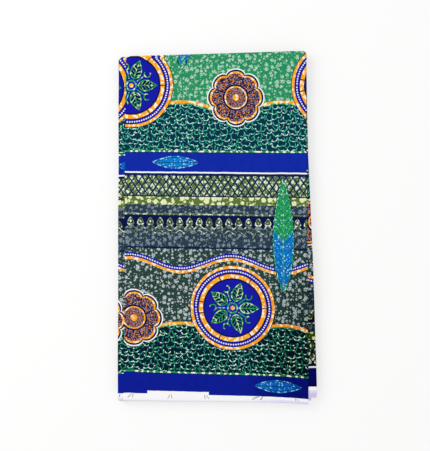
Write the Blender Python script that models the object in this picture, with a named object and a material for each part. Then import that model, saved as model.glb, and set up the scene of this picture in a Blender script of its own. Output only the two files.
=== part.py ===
"""A folded length of printed cotton cloth, lying flat on a surface.

The cloth is one cut. It is folded in half along its length, so that the lengthwise fold lies at +Y and both
selvages lie at -Y, and then back and forth across into panels. Four solids stand for it: the top panel, the two
panels that are seen past its right and left edges, and all the layers below them as one block, layered at its edges.

X runs across the panels, Y from the selvages to the lengthwise fold, and Z up from the surface.
"""

import math

import bmesh
import bpy
import numpy as np

# Driving sizes, in metres
MM = 0.001
WALL = 1.3 * MM
UNDER_WALL = 1.6 * MM
GAP = 0.35 * MM
LEAF = 1.75 * MM
GROOVE = 1.1 * MM
LIP = 0.2 * MM
HALF_SPREAD = 295.8 * MM

# Rows of the lattice over which each panel lies, from the fold to the selvages, and columns from left to right
CORNER_ROWS = (0.0, 1.5 * MM, 5.0 * MM)
LONG_ROWS = 18
COLUMNS = 12

# Outline of a panel in millimetres. Sides are read at the heights in "y", from the selvages to the fold.
TOP_OUTLINE = {
    "y": (-295.8, -246.0, -120.0, 122.0, 295.8),
    "left": (-157.6, -157.0, -155.6, -154.6, -153.0),
    "right": (152.2, 152.5, 151.0, 149.1, 148.6),
    "fold": (286.2, 294.3),
    "selvage": (-289.1, -295.2),
    "corner": (6.0, 4.0),
}
RIGHT_OUTLINE = {
    "y": (-279.0, -254.0, -195.0, -120.0, 47.0, 122.0, 295.8),
    "left": (-156.0, -155.8, -155.0, -154.2, -153.4, -153.2, -151.6),
    "right": (166.6, 166.4, 163.3, 161.6, 154.9, 151.4, 147.0),
    "fold": (284.8, 292.6),
    "selvage": (-287.0, -278.4),
    "corner": (6.0, 5.0),
}
LEFT_OUTLINE = {
    "y": (-295.8, -200.0, 0.0, 150.0, 295.8),
    "left": (-166.6, -166.4, -165.8, -165.2, -164.8),
    "right": (158.4, 156.2, 152.0, 148.8, 146.4),
    "fold": (284.6, 292.4),
    "selvage": (-288.6, -284.6),
    "corner": (9.0, 5.0),
}

# Hidden layers, one row a leaf from the lowest up, in millimetres
LEAF_COLUMNS = ("left_fold", "right_fold", "left_selvage", "right_selvage", "fold", "selvage")
LEAVES = (
    (-162.6, 145.4, -164.0, 154.4, 289.0, -288.0),
    (-164.0, 146.8, -165.2, 157.6, 291.2, -290.4),
    (-163.0, 145.8, -164.4, 155.4, 289.8, -286.8),
    (-164.4, 147.0, -165.8, 158.4, 291.6, -289.4),
    (-163.2, 146.0, -164.8, 156.0, 290.2, -291.4),
    (-164.2, 146.8, -165.6, 159.6, 291.4, -288.2),
)
LEAF_CORNER = 8.0
FOLD_SLANT = 8.0
SELVAGE_SLANT = 5.0

# How the layers puff up: share of their pressed height lost at the selvages, and gained along the fold edges
SELVAGE_DROP = 0.12
FOLD_PUFF = 0.035
PUFF_REACH = 28 * MM
WAVES = (
    {"share": 0.020, "across": 2.3, "along": 3.1, "phase": 0.4},
    {"share": 0.014, "across": -3.7, "along": 5.3, "phase": 1.9},
    {"share": 0.008, "across": 8.1, "along": 2.2, "phase": 3.3},
)

COLOURS = {
    "top_panel": (0.045, 0.130, 0.110, 1.0),
    "right_under_panel": (0.035, 0.050, 0.120, 1.0),
    "left_under_panel": (0.040, 0.150, 0.110, 1.0),
    "folded_layers": (0.060, 0.080, 0.160, 1.0),
}
ROUGHNESS = 0.72


def smooth_step(t):
    """A soft ramp from 0 to 1."""
    t = np.clip(t, 0.0, 1.0)
    return t * t * (3.0 - 2.0 * t)


def looseness(x, y):
    """The height of any layer at a place, as a share of its height where it is pressed least."""
    towards_fold = smooth_step((y + HALF_SPREAD) / (2.0 * HALF_SPREAD))
    share = 1.0 - SELVAGE_DROP * (1.0 - towards_fold)
    left = np.interp(y, np.array(TOP_OUTLINE["y"]) * MM, np.array(TOP_OUTLINE["left"]) * MM)
    right = np.interp(y, np.array(TOP_OUTLINE["y"]) * MM, np.array(TOP_OUTLINE["right"]) * MM)
    share = share + FOLD_PUFF * np.exp(-(((x - left) / PUFF_REACH) ** 2))
    share = share + FOLD_PUFF * np.exp(-(((x - right) / PUFF_REACH) ** 2))
    for wave in WAVES:
        turn = 2.0 * math.pi * (wave["across"] * x + wave["along"] * y) + wave["phase"]
        share = share + wave["share"] * np.sin(turn)
    return share


def lattice(outline):
    """The places over which a panel lies, as rows from the fold to the selvages of points from left to right."""
    heights = np.array(outline["y"]) * MM
    fold = np.array(outline["fold"]) * MM
    selvage = np.array(outline["selvage"]) * MM
    corner = np.array(outline["corner"]) * MM
    length = float((fold - selvage).mean())
    steps = [row / length for row in CORNER_ROWS]
    steps += list(np.linspace(steps[-1], 1.0, LONG_ROWS)[1:])
    across = np.linspace(0.0, 1.0, COLUMNS)
    rows = []
    for step in steps:
        ends_y = fold + (selvage - fold) * step
        ends_x = np.array(
            [
                np.interp(ends_y[0], heights, np.array(outline["left"]) * MM),
                np.interp(ends_y[1], heights, np.array(outline["right"]) * MM),
            ]
        )
        from_corner = np.clip(corner - step * length, 0.0, None)
        pull = corner - np.sqrt(corner**2 - from_corner**2)
        ends_x += pull * np.array([1.0, -1.0])
        x = ends_x[0] + (ends_x[1] - ends_x[0]) * across
        y = ends_y[0] + (ends_y[1] - ends_y[0]) * across
        rows.append(np.stack([x, y], axis=1))
    return np.array(rows)


def rim_of(grid):
    """The lattice's edge as one loop: along the fold, down the right side, back along the selvages and up."""
    return np.concatenate([grid[0, :], grid[1:, -1], grid[-1, -2::-1], grid[-2:0:-1, 0]])


def outward(rim):
    """The direction that points out of the loop at each of its points."""
    ahead = np.roll(rim, -1, axis=0) - rim
    behind = rim - np.roll(rim, 1, axis=0)
    ahead /= np.linalg.norm(ahead, axis=1, keepdims=True)
    behind /= np.linalg.norm(behind, axis=1, keepdims=True)
    along = ahead + behind
    along /= np.linalg.norm(along, axis=1, keepdims=True)
    return np.stack([-along[:, 1], along[:, 0]], axis=1)


def lifted(points, level):
    """Places in plan raised to a layer's level, with the puff that the pile has there."""
    height = level * looseness(points[..., 0], points[..., 1])
    return np.concatenate([points, height[..., None]], axis=-1)


def half_round(reach, depth, steps=6):
    """An edge that bulges out by reach while it goes down by depth, as (out, drop) pairs."""
    turns = [math.pi * step / steps for step in range(steps + 1)]
    return [(reach * math.sin(turn), depth / 2.0 * (1.0 - math.cos(turn))) for turn in turns]


def edge_shape(wall, depth, folded):
    """The section of a panel's edge: a thin cut edge, or a fold that rolls down over the layer below."""
    cut = half_round(0.4 * wall, wall) + [(-0.5 * LIP, wall), (-LIP, wall)]
    fold = half_round(0.5 * depth, depth) + [(-LIP, depth), (-LIP, wall)]
    return [
        (a[0] + (b[0] - a[0]) * folded, a[1] + (b[1] - a[1]) * folded)
        for a, b in zip(cut, fold, strict=True)
    ]


def build_solid(name, cap_grid, low_grid, rings):
    """Closes a solid from its upper lattice, rings of rim points going down its sides, and its lower lattice."""
    mesh = bmesh.new()
    rows, columns = cap_grid.shape[:2]

    def add_points(points):
        return [mesh.verts.new(point) for point in points]

    def add_cap(grid, rim):
        inner = grid[1:-1, 1:-1]
        inside = add_points(inner.reshape(-1, 3))
        table = np.empty((rows, columns), dtype=object)
        table[1:-1, 1:-1] = np.array(inside, dtype=object).reshape(inner.shape[:2])
        table[0, :] = rim[:columns]
        table[1:, -1] = rim[columns : columns + rows - 1]
        table[-1, -2::-1] = rim[columns + rows - 1 : 2 * columns + rows - 2]
        table[-2:0:-1, 0] = rim[2 * columns + rows - 2 :]
        for i in range(rows - 1):
            for j in range(columns - 1):
                mesh.faces.new((table[i, j], table[i, j + 1], table[i + 1, j + 1], table[i + 1, j]))

    loops = [add_points(ring) for ring in rings]
    for upper, lower in zip(loops, loops[1:], strict=False):
        for k, here in enumerate(upper):
            after = (k + 1) % len(upper)
            mesh.faces.new((here, upper[after], lower[after], lower[k]))
    add_cap(cap_grid, loops[0])
    add_cap(low_grid, loops[-1])
    bmesh.ops.triangulate(mesh, faces=mesh.faces[:])
    bmesh.ops.recalc_face_normals(mesh, faces=mesh.faces[:])
    data = bpy.data.meshes.new(name)
    mesh.to_mesh(data)
    mesh.free()
    piece = bpy.data.objects.new(name, data)
    bpy.context.scene.collection.objects.link(piece)
    data.materials.append(cloth_material(name))
    data.shade_smooth()
    data.set_sharp_from_angle(angle=math.radians(50))
    return piece


def cloth_material(name):
    """Plain printed cotton in the main colour of what the piece shows."""
    material = bpy.data.materials.new(name)
    material.use_nodes = True
    shader = material.node_tree.nodes["Principled BSDF"]
    shader.inputs["Base Color"].default_value = COLOURS[name]
    shader.inputs["Roughness"].default_value = ROUGHNESS
    shader.inputs["Metallic"].default_value = 0.0
    return material


def folded_share(grid, fold_side, left_side, right_side):
    """How far each rim point belongs to a fold, from 0 at a cut edge to 1, for the three sides that may fold."""
    rows, columns = grid.shape[:2]
    share = np.zeros((rows, columns))
    share[:, 0] = left_side
    share[:, -1] = right_side
    share[0, :] = fold_side
    share[0, 0] = max(fold_side, left_side)
    share[1, -1] = (fold_side + right_side) / 2.0
    share[-1, 0] = 0.5 * left_side
    share[-1, -1] = 0.5 * right_side
    return rim_of(share)


def build_panel(name, outline, top_level, wall, depth, shares):
    """One cloth panel: a wall over its outline, whose folded sides roll down and whose other sides are thin."""
    grid = lattice(outline)
    rim = rim_of(grid)
    away = outward(rim)
    folded = folded_share(grid, *shares)
    sections = np.array([edge_shape(wall, depth, share) for share in folded])
    rings = []
    for step in range(sections.shape[1]):
        out = sections[:, step, 0:1]
        drop = sections[:, step, 1]
        ring = lifted(rim + away * out, 1.0)
        height = (top_level - drop) * looseness(ring[:, 0], ring[:, 1])
        rings.append(np.column_stack([ring[:, :2], height]))
    return build_solid(name, lifted(grid, top_level), lifted(grid, top_level - wall), rings)


def leaf_lattice(leaf):
    """The lattice of one hidden leaf, from its row of the table."""
    row = dict(zip(LEAF_COLUMNS, leaf, strict=True))
    return lattice(
        {
            "y": (-HALF_SPREAD / MM, HALF_SPREAD / MM),
            "left": (row["left_selvage"], row["left_fold"]),
            "right": (row["right_selvage"], row["right_fold"]),
            "fold": (row["fold"] - FOLD_SLANT, row["fold"]),
            "selvage": (row["selvage"], row["selvage"] + SELVAGE_SLANT),
            "corner": (LEAF_CORNER, LEAF_CORNER),
        }
    )


def build_folded_layers(name):
    """The hidden layers: one block whose sides bulge at each leaf and draw in between two of them."""
    grids = [leaf_lattice(leaf) for leaf in LEAVES]
    bulge = ((0.50, 0.10), (0.08, 0.32), (0.08, 0.68), (0.50, 0.90))
    rims = []
    levels = []
    for index, grid in enumerate(grids):
        rim = rim_of(grid)
        away = outward(rim)
        for inset, share in bulge:
            rims.append(rim - away * inset * GROOVE)
            levels.append((index + share) * LEAF)
        if index + 1 < len(grids):
            middle = (rim + rim_of(grids[index + 1])) / 2.0
            rims.append(middle - outward(middle) * GROOVE)
            levels.append((index + 1) * LEAF)
    low_grid = grids[0]
    low_rim = rim_of(low_grid)
    rims.insert(0, low_rim - outward(low_rim) * GROOVE)
    levels.insert(0, 0.0)
    top_grid = grids[-1]
    top_rim = rim_of(top_grid)
    rims.append(top_rim - outward(top_rim) * GROOVE)
    levels.append(len(grids) * LEAF)
    rings = [lifted(rim, level) for rim, level in zip(rims, levels, strict=True)]
    return build_solid(name, lifted(top_grid, levels[-1]), lifted(low_grid, 0.0), rings[::-1])


def centre_on_origin(pieces):
    """Moves the meshes so that the middle of the whole outline stands on the origin."""
    points = np.array([vertex.co for piece in pieces for vertex in piece.data.vertices])
    middle = (points.min(axis=0) + points.max(axis=0)) / 2.0
    for piece in pieces:
        for vertex in piece.data.vertices:
            vertex.co.x -= middle[0]
            vertex.co.y -= middle[1]
    print("moved to the middle by", middle[:2], "size", points.max(axis=0) - points.min(axis=0))


def main():
    for old in list(bpy.data.objects):
        bpy.data.objects.remove(old)
    block_top = len(LEAVES) * LEAF
    left_top = block_top + GAP + UNDER_WALL
    right_top = left_top + GAP + UNDER_WALL
    panel_top = right_top + GAP + WALL
    fold_depth = WALL + GAP + UNDER_WALL
    pieces = [
        build_folded_layers("folded_layers"),
        build_panel("left_under_panel", LEFT_OUTLINE, left_top, UNDER_WALL, UNDER_WALL, (1.0, 1.0, 0.0)),
        build_panel("right_under_panel", RIGHT_OUTLINE, right_top, UNDER_WALL, UNDER_WALL, (1.0, 0.0, 1.0)),
        build_panel("top_panel", TOP_OUTLINE, panel_top, WALL, fold_depth, (1.0, 1.0, 0.0)),
    ]
    centre_on_origin(pieces)
    for piece in pieces:
        print(piece.name, "triangles", len(piece.data.polygons))


main()
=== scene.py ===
# %% [markdown]
# # A folded length of printed cotton
#
# The real object is one cut of plain woven cotton, printed on both faces. It is folded in half along its
# length and then back and forth across, so it lies as a flat pile of panels. The camera looks straight down
# at it.
#
# The solids of the pile are loaded first. They say where every layer lies, and nothing here moves them.

# %% Load the pile
import math

import bpy
import numpy as np
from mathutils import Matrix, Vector


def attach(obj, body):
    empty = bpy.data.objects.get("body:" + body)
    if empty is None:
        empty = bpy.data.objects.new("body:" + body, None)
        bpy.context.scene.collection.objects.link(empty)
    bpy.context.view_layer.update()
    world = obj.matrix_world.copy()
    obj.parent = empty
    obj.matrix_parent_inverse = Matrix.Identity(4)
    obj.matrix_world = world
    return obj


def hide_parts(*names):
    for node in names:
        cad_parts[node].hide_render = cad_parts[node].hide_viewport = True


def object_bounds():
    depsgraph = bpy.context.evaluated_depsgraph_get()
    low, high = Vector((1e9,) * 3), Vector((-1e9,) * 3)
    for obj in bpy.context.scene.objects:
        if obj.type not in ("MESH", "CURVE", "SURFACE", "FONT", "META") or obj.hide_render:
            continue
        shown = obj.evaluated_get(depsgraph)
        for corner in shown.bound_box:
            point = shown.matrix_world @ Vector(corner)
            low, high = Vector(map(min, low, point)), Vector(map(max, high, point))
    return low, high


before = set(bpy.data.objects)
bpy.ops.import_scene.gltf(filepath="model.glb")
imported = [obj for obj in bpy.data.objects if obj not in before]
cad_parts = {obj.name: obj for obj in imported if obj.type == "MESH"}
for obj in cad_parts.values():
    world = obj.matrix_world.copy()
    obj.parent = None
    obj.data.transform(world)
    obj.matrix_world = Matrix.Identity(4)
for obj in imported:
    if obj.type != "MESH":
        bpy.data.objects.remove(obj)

MM = 0.001
pile_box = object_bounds()
print("pile in mm", [[round(v / MM, 1) for v in corner] for corner in pile_box])

# %% [markdown]
# ## How high each layer lies
#
# The pile has 36 layers of cloth, in pairs because the cloth is doubled. Loosely folded cotton takes about
# 0.45 mm a layer. The layers lie highest at the lengthwise fold, where every panel turns over, and a little
# lower at the selvages. They puff up beside the cross folds, and slow waves run over all of them. A
# simulation could settle the layers too, but it would spend its time on what is hidden.

# %% Height of the layers
PANELS = 18
LAYERS = 2 * PANELS
PITCH = 0.45 * MM
HALF_SPREAD = 295.8 * MM
SELVAGE_DROP = 0.12
FOLD_PUFF = 0.035
PUFF_REACH = 28 * MM
WAVES = (
    {"share": 0.020, "across": 2.3, "along": 3.1, "phase": 0.4},
    {"share": 0.014, "across": -3.7, "along": 5.3, "phase": 1.9},
    {"share": 0.008, "across": 8.1, "along": 2.2, "phase": 3.3},
)
PUFF_SIDES = {"y": (-295.8, 295.8), "left": (-157.6, -153.0), "right": (152.2, 148.6)}


def smooth_step(t):
    """A soft ramp from 0 to 1."""
    t = np.clip(t, 0.0, 1.0)
    return t * t * (3.0 - 2.0 * t)


def looseness(x, y):
    """The height of any layer at a place, as a share of its height where it is pressed least."""
    share = 1.0 - SELVAGE_DROP * (1.0 - smooth_step((y + HALF_SPREAD) / (2.0 * HALF_SPREAD)))
    heights = np.array(PUFF_SIDES["y"]) * MM
    for side in ("left", "right"):
        edge = np.interp(y, heights, np.array(PUFF_SIDES[side]) * MM)
        share = share + FOLD_PUFF * np.exp(-(((x - edge) / PUFF_REACH) ** 2))
    for wave in WAVES:
        turn = 2.0 * math.pi * (wave["across"] * x + wave["along"] * y) + wave["phase"]
        share = share + wave["share"] * np.sin(turn)
    return share


print("layers:", LAYERS, "and the pile's height in mm if none were pressed:", round(LAYERS * PITCH / MM, 1))

# %% [markdown]
# ## Creases
#
# Cotton that was folded and pressed keeps soft lines. They could be sculpted, but a brush leaves nothing to
# read or to change. So each is one row of a table, with its own length, depth and width. A crease fades
# out over a third of its length at both of its ends.

# %% Creases in the pile
CREASES = (
    {"start": (-150, 12), "end": (90, 4), "depth": 0.52, "width": 5.0},
    {"start": (20, 6), "end": (148, 16), "depth": -0.38, "width": 8.0},
    {"start": (-96, -286), "end": (-78, 60), "depth": 0.36, "width": 7.0},
    {"start": (58, 288), "end": (70, 40), "depth": 0.40, "width": 9.0},
    {"start": (66, -20), "end": (84, -270), "depth": -0.32, "width": 11.0},
    {"start": (-148, -210), "end": (-20, -150), "depth": 0.30, "width": 12.0},
    {"start": (40, -170), "end": (150, -228), "depth": 0.34, "width": 9.0},
    {"start": (-140, 180), "end": (-30, 232), "depth": -0.30, "width": 10.0},
    {"start": (10, 150), "end": (146, 118), "depth": 0.26, "width": 12.0},
)
FADE_PARTS = 3.0


def crease_relief(x, y):
    """How far the creases lower or raise the top of the pile, in metres."""
    relief = np.zeros(np.broadcast(x, y).shape)
    for crease in CREASES:
        start = np.array(crease["start"]) * MM
        way = np.array(crease["end"]) * MM - start
        length = np.linalg.norm(way)
        way = way / length
        along = ((x - start[0]) * way[0] + (y - start[1]) * way[1]) / length
        aside = (x - start[0]) * -way[1] + (y - start[1]) * way[0]
        fade = smooth_step(along * FADE_PARTS) * smooth_step((1.0 - along) * FADE_PARTS)
        relief = relief - crease["depth"] * MM * fade * np.exp(-((aside / (crease["width"] * MM)) ** 2))
    return relief


print("creases:", len(CREASES), "the deepest in mm:", max(crease["depth"] for crease in CREASES))

# %% [markdown]
# ## The height of one layer
#
# One function gives the height of any layer at any place, so that neighbours follow each other and never
# cross. Layers bunch together here and there, as in any loosely folded pile, but the top and the bottom lie
# smooth. A crease sinks through the layers below it, less and less.

# %% Height of one layer
BUNCHES = (
    {"share": 0.28, "per_layer": 0.09, "across": 1.9, "along": 2.6, "phase": 0.3},
    {"share": 0.10, "per_layer": 0.23, "across": -4.3, "along": 3.9, "phase": 2.1},
    {"share": 0.03, "per_layer": 0.41, "across": 9.0, "along": -7.0, "phase": 4.0},
)
TAPER_LAYERS = 4.0
SINK_POWER = 3


def layer_height(layer, x, y):
    """Height of a layer's middle above the surface. Layers count from 0 there, and may be fractions."""
    spread = layer
    for bunch in BUNCHES:
        turn = bunch["per_layer"] * layer + bunch["across"] * x + bunch["along"] * y
        taper = np.clip(np.minimum(layer, LAYERS - layer) / TAPER_LAYERS, 0.0, 1.0)
        spread = spread + bunch["share"] * taper * np.sin(2.0 * math.pi * turn + bunch["phase"])
    sink = np.clip(layer / LAYERS, 0.0, 1.0) ** SINK_POWER
    return spread * PITCH * looseness(x, y) + sink * crease_relief(x, y)


top_height = layer_height(LAYERS - 0.5, np.zeros(1), np.zeros(1))[0]
print("top layer at the middle, mm:", round(top_height / MM, 2))

# %% [markdown]
# ## Where the folds run
#
# Each cross fold is a line. The first one is the free cut end of the cloth, which lies along the right
# edge, and then the folds lie left and right in turn. A line has its place at five heights on the pile, how
# much of the cloth's width lies in front, the height of the lengthwise fold there, and how far the two
# selvages reach. The first four follow the photo. The hidden ones are much alike, with small slips drawn
# from one seeded generator.

# %% Lines of the folds
FOLD_AT = (-296.0, -120.0, 47.0, 122.0, 296.0)
LINE_COLUMNS = ("x", "turn", "fold", "front", "back")
SEEN_LINES = (
    ((152.4, 151.0, 149.9, 149.1, 148.6), 584.0, 295.4, -295.2, -284.0),
    ((-157.6, -155.6, -154.9, -154.6, -153.0), 575.7, 286.4, -289.1, -287.5),
    ((167.0, 162.1, 155.4, 151.4, 148.2), 583.0, 292.6, -284.0, -279.8),
    ((-167.0, -166.5, -166.0, -165.6, -165.2), 577.0, 285.4, -288.4, -286.0),
)
HIDDEN_LINES = (
    ((156.5, 152.2, 149.8, 148.2, 146.0), 581.0, 291.0, -286.6, -286.0),
    ((-164.9, -164.6, -164.3, -164.0, -163.6), 581.0, 284.6, -288.6, -288.0),
)
SLIP, SLANT = 1.5, 1.1
SLIPS = {"turn": 5.0, "fold": 1.9, "front": 3.4, "back": 3.4}
CLOTH_WIDTH = 1170.0


def slipped(row, draws):
    """A hidden fold's line: the usual one on its side, moved by draws from -1 to 1."""
    line = dict(zip(LINE_COLUMNS, row, strict=True))
    steps = np.linspace(-1.0, 1.0, len(line["x"]))
    slip, slant = SLIP * draws[0], SLANT * draws[1]
    line["x"] = tuple(x + slip + slant * step for x, step in zip(line["x"], steps, strict=True))
    for (name, most), draw in zip(SLIPS.items(), draws[2:], strict=True):
        line[name] = line[name] + most * draw
    return line


slips = np.random.default_rng(11)
lines = [dict(zip(LINE_COLUMNS, row, strict=True)) for row in SEEN_LINES]
for number in range(len(lines), PANELS + 1):
    lines.append(slipped(HIDDEN_LINES[number % 2], slips.uniform(-1.0, 1.0, 6)))
print("lines of folds and ends:", len(lines), "from", lines[0]["x"][0], "to", round(lines[-1]["x"][0], 1))

# %% [markdown]
# ## Where the print lies
#
# The folded halves are a little askew, so the printed bands run slightly downhill to the right, and more so
# towards the selvage. A short table gives, for lines of the print, their height on the pile at the seen
# folds. The first row is the distance across the cloth from its front selvage. Elsewhere the cloth lies
# straight. Bending the finished mesh would move its outline too, so it's the places of the print that are
# set.

# %% Lines of the print
FRONT_PRINT = {
    "across": (0.0, 13.4, 49.3, 258.2, 383.0, 417.9, 575.7, 584.0),
    0: (-295.2, -286.8, -250.7, -36.1, 91.1, 126.7, 287.0, 295.4),
    1: (-289.1, -275.6, -238.4, -30.9, 93.9, 128.8, 286.4, 294.7),
    3: (-288.4, -277.2, -243.0, -38.0, 87.5, 122.0, 284.0, 292.3),
}
CORNER = 6.0 * MM
RIPPLE = 0.22 * MM
RIPPLE_LENGTH = 0.021
RIPPLE_CHANGE = 0.004
RIPPLE_KINDS = 5
RIPPLE_PHASE = 1.7
BOW_ACROSS = (0.0, 60.0, 260.0)
BOW = (1.9, 1.9, 0.0)
BACK_PRINT = {
    "across": (583.0, 1079.8, 1114.9, 1121.5, 1152.8, 1170.0),
    2: (292.6, -187.0, -227.3, -234.6, -264.9, -279.8),
}


def height_on_line(number, across, front):
    """Where a place across the cloth lies along a fold's line, in millimetres."""
    line = lines[number]
    table = FRONT_PRINT if front else BACK_PRINT
    if number in table:
        return np.interp(across, table["across"], table[number])
    if front:
        return line["front"] + (line["fold"] - line["front"]) * across / line["turn"]
    way_down = (across - line["turn"]) / (CLOTH_WIDTH - line["turn"])
    return line["fold"] + (line["back"] - line["fold"]) * way_down


def sideways_on_line(number, y):
    """Where a fold's line lies across the pile at height y, in metres, with a rounded corner at its top."""
    line = lines[number]
    side = 1.0 if number % 2 == 0 else -1.0
    x = np.interp(y, np.array(FOLD_AT) * MM, np.array(line["x"]) * MM)
    from_corner = np.clip(CORNER - (line["fold"] * MM - y), 0.0, CORNER)
    pull = CORNER - np.sqrt(CORNER**2 - from_corner**2)
    length = RIPPLE_LENGTH + RIPPLE_CHANGE * (number % RIPPLE_KINDS)
    return x - side * pull + RIPPLE * np.sin(y / length + RIPPLE_PHASE * number)


downhill = FRONT_PRINT[1][3] - FRONT_PRINT[0][3]
print("the slate band runs downhill to the right by, mm:", round(downhill, 1))

# %% [markdown]
# ## How much cloth there is
#
# The panels' lengths, with a little cloth for each turn, add up to the whole cut. The flat size of each
# stretch is taken from here, so it can't drift away from the folds.

# %% Lengths of the panels
FOLD_INSET = 1.2
TURN_LENGTH = 2.0
panel_lengths = [
    abs(lines[number]["x"][2] - lines[number + 1]["x"][2]) - FOLD_INSET * (1.0 if number == 0 else 2.0)
    for number in range(PANELS)
]
turn_lengths = [TURN_LENGTH] * (PANELS - 1) + [0.0]
panel_starts = np.concatenate([[0.0], np.cumsum(np.array(panel_lengths) + turn_lengths)])


def sheet_size(first, last):
    """Flat length and width in metres of the cloth in some panels, with the folds that end them."""
    return round(float(panel_starts[last + 1] - panel_starts[first]) * MM, 3), CLOTH_WIDTH * MM


print("whole cut of cloth, metres:", sheet_size(0, PANELS - 1))

# %% [markdown]
# ## Rows across the cloth
#
# A place on the cloth is given by a station along it and a row across it. A row lies on the front half,
# round the lengthwise fold, or on the back half. Rows crowd at the fold, where the cloth bends most. An
# even grid that is fine enough for the fold would need many times the faces.

# %% Rows
BEND_SHARE = 0.985


def rows_across(front_steps, back_steps, round_steps=7):
    """The rows of a mesh: half (1 front, -1 back), share of the way up that half, and swell at the fold."""
    turns = np.linspace(0.0, math.pi, round_steps + 2)[1:-1]
    half = np.concatenate([np.ones(len(front_steps)), np.cos(turns), -np.ones(len(back_steps))])
    share = np.concatenate([front_steps, np.ones(len(turns)), back_steps[::-1]])
    swell = np.concatenate([np.zeros(len(front_steps)), np.sin(turns), np.zeros(len(back_steps))])
    return half, share, swell


def even_steps(count, near_end=(0.9905, 0.9950, 0.9978, 0.9992, 1.0)):
    """Shares from 0 to 1, closer together at the end that meets the lengthwise fold."""
    return np.concatenate([np.linspace(0.0, BEND_SHARE, count), near_end])


def across_cloth(turn, rows):
    """Distance across the flat cloth of each row, in millimetres."""
    half, share, swell = rows
    front = turn * share
    back = turn + (CLOTH_WIDTH - turn) * (1.0 - share)
    return np.where(swell > 0.0, turn + 0.5 * (1.0 - half), np.where(half > 0.0, front, back))


print("rows from a selvage to the fold, for 60 even steps:", len(even_steps(60)))

# %% [markdown]
# ## Stations along the cloth
#
# A station lies either on a panel or part of the way round a cross fold. The two halves of the doubled
# cloth keep half a layer either side of the pair's middle, which also carries them round the cross folds,
# one inside the other. So the whole pile is one smooth surface, cut into four meshes where nothing shows.
# Flat sheets laid on each other would be simpler, but their edges would be cut ends, where the real pile
# shows folds.

# %% Stations
FOLD_BULGE = 1.8
OUTER_RADIUS = 1.5
LENGTHWISE_BULGE = 0.9


def bow_shape(share):
    """How the top panel's lower lines bow upwards, from 0 at both ends to 1 at a quarter of the way."""
    return share * (1.0 - share) ** 3 * 256.0 / 27.0


def station_points(panel, share, angle, rows):
    """Points and flat places of one station: on a panel at that share of its way, or round its end fold."""
    half, _, swell = rows
    ends = (panel, panel + 1)
    reach = FOLD_BULGE * OUTER_RADIUS * PITCH
    if angle > 0.0:
        share = 1.0
    turn = lines[ends[0]]["turn"] * (1.0 - share) + lines[ends[1]]["turn"] * share
    across = across_cloth(turn, rows)
    heights = [
        np.where(half > 0.0, height_on_line(end, across, True), height_on_line(end, across, False)) * MM
        for end in ends
    ]
    y = heights[0] * (1.0 - share) + heights[1] * share
    if panel == 0:
        y = y + np.where(half > 0.0, np.interp(across, BOW_ACROSS, BOW), 0.0) * MM * bow_shape(share)
    sides = []
    for end in ends:
        side = 1.0 if end % 2 == 0 else -1.0
        inset = 0.0 if end in (0, PANELS) else side * reach
        sides.append(sideways_on_line(end, y) - inset)
    x = sides[0] * (1.0 - share) + sides[1] * share
    facing = 1.0 if panel % 2 == 0 else -1.0
    pair_middle = LAYERS - 2.0 * panel - 1.0
    if angle > 0.0:
        radius = 1.0 + 0.5 * facing * half
        outside = 1.0 if (panel + 1) % 2 == 0 else -1.0
        x = x + outside * FOLD_BULGE * radius * PITCH * math.sin(angle)
        layer = pair_middle - 1.0 + radius * math.cos(angle)
    else:
        layer = pair_middle + 0.5 * facing * half
    y = y + LENGTHWISE_BULGE * PITCH * swell
    along = -panel_starts[panel] - panel_lengths[panel] * share - TURN_LENGTH * angle / math.pi
    points = np.stack([x, y, layer_height(layer, x, y)], axis=1)
    flat = np.stack([np.full(len(across), along), across], axis=1) * MM
    return points, flat


print("a cross fold swells by, mm:", round(FOLD_BULGE * OUTER_RADIUS * PITCH / MM, 2))

# %% [markdown]
# ## Which stations a piece has
#
# A piece of cloth is one panel or more, with the folds that end them. Each fold takes a few stations more,
# since it turns the cloth right over.

# %% Stations of a piece
def stations_of(panels, shares, fold_steps=8):
    """Stations over some panels: shares of the way along each, and the turn round the fold that ends it."""
    found = []
    for panel in panels:
        found += [(panel, share, 0.0) for share in shares]
        if panel < PANELS - 1:
            turns = np.linspace(0.0, math.pi, fold_steps + 1)[1:]
            found += [(panel, 1.0, angle) for angle in turns]
    return found


print("stations of one panel with five shares:", len(stations_of([0], np.linspace(0.0, 1.0, 5))))

# %% [markdown]
# ## Weaving a mesh
#
# Stations and rows make a grid of quads. Solidify gives it the thickness of the cloth. Each mesh carries
# two UV maps. The first is its place on the flat cloth, which the print is drawn from. The second spreads
# the mesh over one square, with most room where stations and rows are close, and so where the cloth shows.
# With it, the print can be stored sharply as one picture.

# %% A mesh from stations and rows
CLOTH_THICKNESS = 0.28 * MM


def add_map(mesh, name, places, quads):
    """A UV map from one place for each point of the grid."""
    layer = mesh.uv_layers.new(name=name)
    layer.data.foreach_set("uv", places.reshape(-1, 2)[quads.reshape(-1)].astype(np.float32).ravel())


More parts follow.
